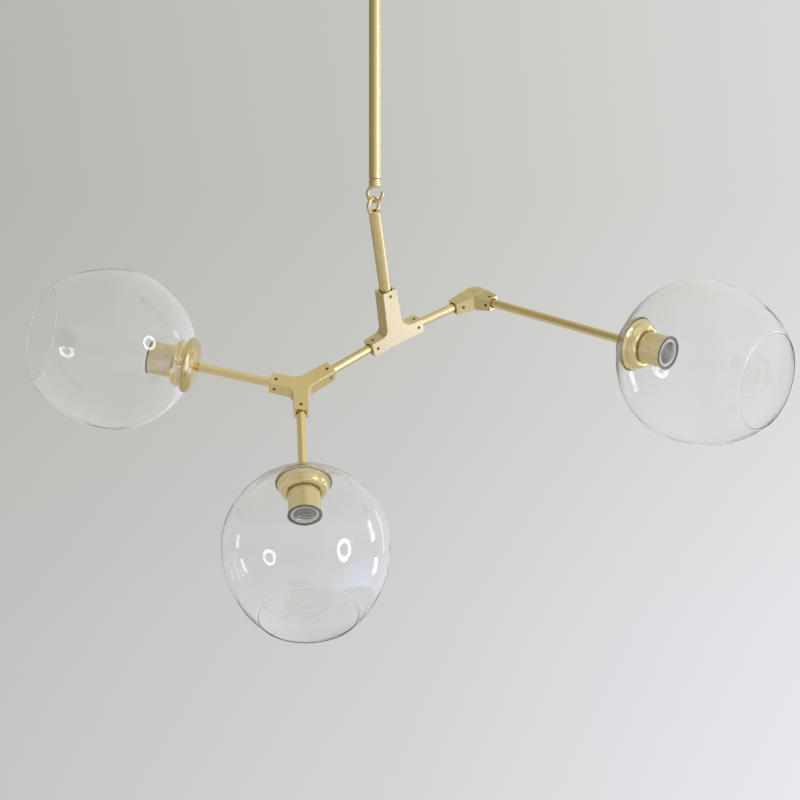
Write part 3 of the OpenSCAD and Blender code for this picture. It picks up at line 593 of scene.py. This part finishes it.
def make_insulator(name, lamp, at, body):
    """Steatite body round the screw shell, its rim eased over the shell's end."""
    out, low, high, pin_hole = CUP_R - SHEET - 1.5, 12.8, SHELL_FROM + SHELL_H + 0.6, 1.5
    line = eased([(pin_hole, low), (out, low), (out, high, 0.7), (SHELL_R + FIT, high, 0.6),
                  (SHELL_R + FIT, SHELL_FROM, 0.1), (SHELL_R - 1.5, SHELL_FROM, 0.2),
                  (SHELL_R - 1.5, CONTACT_SEAT, 0.4), (pin_hole, CONTACT_SEAT, 0.2)], 0.2)
    bm = spun(line, 96)
    return add_piece(name, bm, at, ceramic(name + "_steatite", at), body, [lamp + "_insulator"])


def make_tube(node, at, body, outer, wall, low, high, ease=0.35):
    """Plain tube, brushed along its length."""
    bm = spun(tube_profile(outer, wall, low, high, ease), 72)
    return add_piece(node + "_tube", bm, at, satin_brass(node + "_brass", at, "along", 0.94, 0.28), body,
                     [node])


def make_arm(node, at, body, low, lamp_at):
    """Tube from a hub to a lamp, stepped down to the thread that holds cap and cup."""
    out, into, root, pitch, turns, point = ARM_D / 2, ARM_D / 2 - ARM_WALL, 3.72, 0.8, 7, 3.6
    end = lamp_at - CAP_H
    tip, step_in = end + 6, end - 4
    thread = []
    for i in range(turns):
        z = end + 0.2 + pitch * i
        thread += [(THREAD_R, z, 0.03), (root, z + 0.35, 0.03), (THREAD_R, z + 0.7, 0.03)]
    line = eased([(into, low), (out, low, 0.35), (out, end, 0.3), (THREAD_R, end, 0)] + thread +
                 [(point, tip, 0.2), (THREAD_BORE_R, tip, 0.2), (THREAD_BORE_R, step_in, 0),
                  (into, step_in, 0)], 0.2)
    bm = spun(line, 72)
    return add_piece(node + "_tube", bm, at, satin_brass(node + "_brass", at, "along", 1.05), body,
                     [node])


def softened(node, name, material, body, at, chosen, width=0.45, sharp=12):
    """Copy of a CAD solid with the edges that a test picks rolled over."""
    same_place, same_plane, corner = 2e-6, math.radians(0.6), math.radians(35)
    bm = bmesh.new()
    bm.from_mesh(nodes[node].data)
    bmesh.ops.remove_doubles(bm, verts=bm.verts[:], dist=same_place)
    bmesh.ops.dissolve_limit(bm, angle_limit=same_plane, verts=bm.verts[:], edges=bm.edges[:],
                             use_dissolve_boundaries=False)
    bmesh.ops.transform(bm, matrix=at.inverted(), verts=bm.verts[:])
    edges = [e for e in bm.edges
             if len(e.link_faces) == 2 and e.calc_face_angle(0) > corner and chosen(e)]
    bmesh.ops.bevel(bm, geom=edges, offset=width * MM, offset_type="OFFSET", segments=3, profile=0.5,
                    affect="EDGES", clamp_overlap=True, material=-1)
    return add_piece(name, bm, at, material, body, [node], sharp)


# ---------- the three lamps ----------
def make_lamp(lamp, body, at):
    """One lamp fitting with its globe; the collar's flange meets the glass inside the neck."""
    full = GLOBE_R - GLASS
    flange = GLOBE_MID - (NECK_DEPTH - GLASS) * math.cos(neck_angle(COLLAR_R, full)) ** (2 / NECK_P) + 0.02
    make_cap(lamp + "_domed_cap", lamp, at, body)
    make_cup(lamp + "_socket_cup", lamp, at, body)
    make_liner(lamp + "_liner_sleeve", lamp, at, body)
    make_shell(lamp + "_screw_shell", lamp, at, body)
    make_contact(lamp + "_centre_contact", lamp, at, body)
    make_insulator(lamp + "_ceramic_insulator", lamp, at, body)
    make_ring(lamp + "_locking_collar", lamp, at, body, flange)
    make_globe(lamp + "_glass_globe", lamp, at, body)


for lamp, (body, at) in LAMPS.items():
    make_lamp(lamp, body, at)


# ---------- stems and arms ----------
def length_between(a, b):
    """Distance of two frames, in mm."""
    return (b.translation - a.translation).length / MM


def with_relief(ends, relief):
    """A stem's ends with the lower one cut back, where its shank's thread runs out."""
    return ends[0] + relief, ends[1]


FORK_LINK = stand(AT_TEE.translation, AT_FORK.translation - AT_TEE.translation, AT_TEE.col[1].xyz)
ELBOW_LINK = stand(AT_TEE.translation, AT_ELBOW.translation - AT_TEE.translation, AT_TEE.col[1].xyz)
make_tube("fork_link", FORK_LINK, "tee", ARM_D, ARM_WALL, *reach("fork_link", FORK_LINK))
make_tube("elbow_link", ELBOW_LINK, "tee", ARM_D, ARM_WALL, *reach("elbow_link", ELBOW_LINK))
make_tube("lower_stem", AT_TEE, "stem", STEM_D, STEM_WALL, *reach("lower_stem", AT_TEE), 0.6)
UPPER_ENDS = with_relief(reach("upper_stem", CEILING), 0.7)
make_tube("upper_stem", CEILING, "ceiling", STEM_D, STEM_WALL, *UPPER_ENDS, 0.5)
for lamp, start in (("left", AT_FORK), ("lower", AT_FORK), ("right", AT_ELBOW)):
    body, at = LAMPS[lamp]
    root = at.copy()
    root.translation = start.translation
    make_arm(lamp + "_arm", root, body, reach(lamp + "_arm", root)[0], length_between(start, at))


# ---------- hubs ----------
def on_block(half):
    """Edges between a hub's flat front or back and its sides; those round a screw hole are left alone."""
    on_face, hole_facet = 3e-5, 4e-6  # m off the face's plane, m2 of the largest facet in a screw hole

    def test(e):
        flat = [f for f in e.link_faces if abs(f.normal.y) > 0.99]
        side = [f for f in e.link_faces if abs(f.normal.y) < 0.1]
        if len(flat) != 1 or len(side) != 1:
            return False
        return abs(abs(e.verts[0].co.y) - half * MM) < on_face and side[0].calc_area() > hole_facet
    return test


def leg(start, end):
    """Frame of a bore that opens from one joint towards another."""
    return stand(start.translation, end.translation - start.translation, start.col[1].xyz)


STEM_BORE, ARM_BORE = 7.6, 5.9  # radius of the bores darkened with painted shade, with their chamfers
TEE_BORES = [(AT_TEE, STEM_BORE), (leg(AT_TEE, AT_FORK), ARM_BORE), (leg(AT_TEE, AT_ELBOW), ARM_BORE)]
FORK_BORES = [(leg(AT_FORK, other), ARM_BORE) for other in (AT_TEE, LAMPS["left"][1], LAMPS["lower"][1])]
ELBOW_BORES = {"elbow_inner": [(leg(AT_ELBOW, AT_TEE), ARM_BORE)],
               "elbow_outer": [(leg(AT_ELBOW, LAMPS["right"][1]), ARM_BORE)]}
softened("tee_hub", "tee_hub_eased", satin_brass("tee_hub_brass", AT_TEE, "across", 1.0, 0.27, TEE_BORES),
         "tee", AT_TEE, on_block(HUB_HALF))
softened("fork_hub", "fork_hub_eased", satin_brass("fork_hub_brass", AT_FORK, "along", 0.97, 0.27, FORK_BORES),
         "fork", AT_FORK, on_block(HUB_HALF))


def round_end(level):
    """Edges of a shank's round end at one height."""
    close, stub_r = 0.03, 6

    def test(e):
        return all(abs(v.co.z / MM - level) < close and math.hypot(v.co.x, v.co.y) / MM > stub_r
                   for v in e.verts)
    return test


softened("hook", "hook_formed", satin_brass("hook_brass", HOOK, "along", 0.88), "hook", HOOK,
         round_end(reach("hook", HOOK)[1]), 0.5, 38)
softened("eye", "eye_formed", satin_brass("eye_brass", EYE, "along", 0.92), "stem", EYE,
         round_end(reach("eye", EYE)[0]), 0.5, 38)


# ---------- pieces kept as the CAD made them ----------
KEPT = {  # each piece's frame, and its finish, the way that its brushed grain runs, or a darker brass of painted shade
    "crossbar": (CEILING, "steel"), "ceiling_nipple": (CEILING, "steel"), "lock_nut": (CEILING, "steel"),
    "canopy": (CEILING, "round"), "canopy_collar": (CEILING, "round"), "collar_screw": (CEILING, "black"),
    "stem_top_plug": (CEILING, "steel"), "stem_end_plug": (CEILING, "black"),
    "lower_stem_plug": (AT_TEE, "steel"),
    "tee_screws": (AT_TEE, "black"), "fork_screws": (AT_FORK, "black"),
    "elbow_inner": (AT_ELBOW, "along"), "elbow_outer": (AT_ELBOW, "painted_shade_tone"),
    "elbow_inner_screws": (AT_ELBOW, "black"), "elbow_outer_screws": (AT_ELBOW, "black"),
    "pivot_screw": (AT_ELBOW, "along"), "pivot_nut": (AT_ELBOW, "steel"),
}
for lamp, (_, at) in LAMPS.items():
    KEPT[lamp + "_nut"] = (at, "steel")
for node, (at, kind) in KEPT.items():
    if kind == "steel":
        finish = bright_steel(node + "_plated", at)
    elif kind == "black":
        finish = satin_brass(node + "_burnished", at, "along", 0.42, 0.42)
    # painted shade: elbow_outer's brass is toned down to 0.84, because its front lies in shade
    elif kind == "painted_shade_tone":
        finish = satin_brass(node + "_brass", at, "along", 0.84, 0.3, ELBOW_BORES.get(node, ()))
    else:
        finish = satin_brass(node + "_brass", at, kind, bores=ELBOW_BORES.get(node, ()))
    nodes[node].data.materials.clear()
    nodes[node].data.materials.append(finish)


# ---------- floor ----------
def floor_finish():
    """Pale paint seen from above; seen from below the floor is not there."""
    floor_paint, tree, shader = new_material("floor_paint")
    shader.inputs["Base Color"].default_value = (0.86, 0.86, 0.85, 1)
    shader.inputs["Roughness"].default_value = 0.7
    side_seen = tree.nodes.new("ShaderNodeNewGeometry")
    from_below = tree.nodes.new("ShaderNodeBsdfTransparent")
    one_sided = tree.nodes.new("ShaderNodeMixShader")
    tree.links.new(side_seen.outputs["Backfacing"], one_sided.inputs["Fac"])
    tree.links.new(shader.outputs["BSDF"], one_sided.inputs[1])
    tree.links.new(from_below.outputs["BSDF"], one_sided.inputs[2])
    tree.links.new(one_sided.outputs["Shader"], tree.nodes["Material Output"].inputs["Surface"])
    return floor_paint


def make_floor(radius, at):
    """Round floor under the part."""
    bm = bmesh.new()
    bmesh.ops.create_circle(bm, cap_ends=True, radius=radius, segments=96)
    floor_mesh = bpy.data.meshes.new("floor")
    bm.to_mesh(floor_mesh)
    bm.free()
    floor = bpy.data.objects.new("floor", floor_mesh)
    floor.location = at
    bpy.context.scene.collection.objects.link(floor)
    floor_mesh.materials.append(floor_finish())


FLOOR_R, FLOOR_AT = 2.6, (0, 0.6, -1.75)
make_floor(FLOOR_R, FLOOR_AT)

# ---------- the room round the part ----------
# Colours of the walls from the left (0) to the right (1): LIT_WALLS as they light the part and show in
# its mirror images, PALE_WALLS as they are seen past the part and through the glass.
LIT_WALLS = [
    (0.0, (0.29, 0.285, 0.26)), (0.15, (0.305, 0.30, 0.275)), (0.27, (0.38, 0.375, 0.35)),
    (0.34, (0.455, 0.452, 0.428)), (0.42, (0.50, 0.498, 0.472)), (0.5, (0.585, 0.583, 0.568)),
    (0.58, (0.715, 0.718, 0.718)), (0.75, (0.745, 0.755, 0.765)), (1.0, (0.745, 0.76, 0.785))]
PALE_WALLS = [
    (0.0, (0.64, 0.64, 0.625)), (0.3, (0.56, 0.56, 0.54)), (0.42, (0.50, 0.498, 0.472)),
    (0.5, (0.588, 0.586, 0.571)), (0.58, (0.72, 0.723, 0.723)), (0.72, (0.80, 0.805, 0.81)),
    (1.0, (0.80, 0.805, 0.81))]
# Factors on these colours: INWARD, on the lit walls alone, from the camera's side (0) to the far side (1),
# and UPRIGHT from straight down (0) to straight up (1).
INWARD = [(0.0, (1.17, 1.17, 1.16)), (0.35, (1.08, 1.08, 1.08)), (0.6, (1.0, 1.0, 1.0))]
UPRIGHT = [
    (0.0, (0.66, 0.65, 0.62)), (0.12, (0.86, 0.86, 0.85)), (0.2, (1.02, 1.02, 1.03)),
    (0.33, (1.12, 1.12, 1.16)), (0.4, (1.08, 1.08, 1.13)), (0.455, (1.0, 1.01, 1.05)),
    (0.5, (0.93, 0.93, 0.93)), (0.54, (0.88, 0.88, 0.86)), (0.62, (0.90, 0.90, 0.88)),
    (0.7, (1.0, 1.0, 0.98)), (0.9, (1.04, 1.04, 1.0)), (1.0, (1.03, 1.01, 0.92))]
TOWARD_WINDOW, WINDOW_EDGE, WINDOW_MIDDLE = (0.884, -0.108, -0.454), 0.80, 0.97
WINDOW_GLOW = (0.73, 0.93, 2.10)


def window_glow(tree, way):
    """Light of a window low on the right, soft at its edge."""
    dot = tree.nodes.new("ShaderNodeVectorMath")
    dot.operation = "DOT_PRODUCT"
    dot.inputs[1].default_value = TOWARD_WINDOW
    tree.links.new(way, dot.inputs[0])
    share = spread(tree, dot.outputs["Value"], 0, 1, WINDOW_EDGE, WINDOW_MIDDLE)
    return blended(tree, share, (0, 0, 0), WINDOW_GLOW)


def make_room(strength):
    """The walls, lit or pale by the kind of ray, brightened inward and upright."""
    world = bpy.data.worlds.new("pale_room")
    bpy.context.scene.world = world
    world.use_nodes = True
    tree = world.node_tree
    tree.nodes.clear()
    out = tree.nodes.new("ShaderNodeOutputWorld")
    room = tree.nodes.new("ShaderNodeBackground")
    tree.links.new(room.outputs["Background"], out.inputs["Surface"])
    coord = tree.nodes.new("ShaderNodeTexCoord")
    direction = tree.nodes.new("ShaderNodeSeparateXYZ")
    tree.links.new(coord.outputs["Generated"], direction.inputs[0])

    def by(axis, stops):
        return ramp(tree, spread(tree, direction.outputs[axis], 0, 1, -1, 1), stops)

    lit_room = blended(tree, 1.0, by("X", LIT_WALLS), window_glow(tree, coord.outputs["Generated"]), "ADD")
    lit_room = blended(tree, 1.0, lit_room, by("Y", INWARD), "MULTIPLY")
    ray = tree.nodes.new("ShaderNodeLightPath")
    straight = combined(tree, "MAXIMUM", ray.outputs["Is Camera Ray"], ray.outputs["Is Transmission Ray"])
    sideways = blended(tree, straight, lit_room, by("X", PALE_WALLS))
    tree.links.new(blended(tree, 1.0, sideways, by("Z", UPRIGHT), "MULTIPLY"), room.inputs["Color"])
    room.inputs["Strength"].default_value = strength


ROOM_STRENGTH = 1.08
make_room(ROOM_STRENGTH)

# ---------- lamps ----------
MIDDLE = (0.0, 0.0, -0.45)
COOL, WARM, WARMER = (0.96, 0.99, 1.0), (1.0, 0.99, 0.98), (1.0, 0.99, 0.97)


def toward(azimuth, height, distance=2.5):
    """A place seen from the middle of the part.

    The azimuth runs from the camera's side towards the right, in degrees, and then comes the height."""
    a, h = math.radians(azimuth), math.radians(height)
    return (MIDDLE[0] + distance * math.sin(a) * math.cos(h), MIDDLE[1] - distance * math.cos(a) * math.cos(h),
            MIDDLE[2] + distance * math.sin(h))


def softbox(name, at, width, height, power, colour):
    """Flat lamp that shines at the middle of the part and is not seen itself."""
    data = bpy.data.lights.new(name, "AREA")
    data.shape = "RECTANGLE"
    data.size, data.size_y = width, height
    data.energy = power
    data.color = colour
    lamp = bpy.data.objects.new(name, data)
    lamp.location = at
    lamp.rotation_mode = "QUATERNION"
    lamp.rotation_quaternion = (Vector(MIDDLE) - Vector(at)).to_track_quat("-Z", "Y")
    lamp.visible_camera = False
    bpy.context.scene.collection.objects.link(lamp)
    return lamp


def as_ring(lamp, inner):
    """Dims the middle of a round lamp up to a share of its width, so that it shines as a ring."""
    soft_edge = 0.06
    lamp.data.shape = "DISK"
    lamp.data.use_nodes = True
    tree = lamp.data.node_tree
    place = tree.nodes.new("ShaderNodeNewGeometry")
    off = tree.nodes.new("ShaderNodeVectorMath")
    off.operation = "SUBTRACT"
    off.inputs[1].default_value = (0.5, 0.5, 0)
    tree.links.new(place.outputs["Parametric"], off.inputs[0])
    length = tree.nodes.new("ShaderNodeVectorMath")
    length.operation = "LENGTH"
    tree.links.new(off.outputs["Vector"], length.inputs[0])
    shine = spread(tree, length.outputs["Value"], 0, 1, inner, inner + soft_edge)
    tree.links.new(shine, tree.nodes["Emission"].inputs["Strength"])


softbox("pane_right", toward(107, 11), 0.36, 0.62, 2.4, COOL)
softbox("pane_right_low", toward(113, -12), 0.34, 0.42, 1.3, COOL)
softbox("pane_back_right", toward(133, 4), 0.2, 1.0, 0.6, COOL)
softbox("low_front", toward(3, -46), 0.6, 0.24, 3.4, WARM)
as_ring(softbox("ring_lamp", toward(54, 8), 0.9, 0.9, 14, WARMER), 0.27)

# ---------- camera ----------
CAMERA_AT = (0.02737, -2.7415, -0.51768)
HALF_PICTURE, FOCAL = 400, 2500  # in pixels of the photograph
SENSOR = 36


def make_camera():
    """Level camera that looks along +Y, as it was fitted to the photograph."""
    data = bpy.data.cameras.new("camera")
    data.sensor_width = SENSOR
    data.lens = SENSOR / 2 / (HALF_PICTURE / FOCAL)
    camera = bpy.data.objects.new("camera", data)
    camera.location = CAMERA_AT
    camera.rotation_euler = (math.radians(90), 0, 0)
    bpy.context.scene.collection.objects.link(camera)
    bpy.context.scene.camera = camera


make_camera()
bpy.context.scene.view_settings.view_transform = "Standard"
bpy.context.scene.cycles.glossy_bounces = 12  # light runs a long way inside the globes' walls
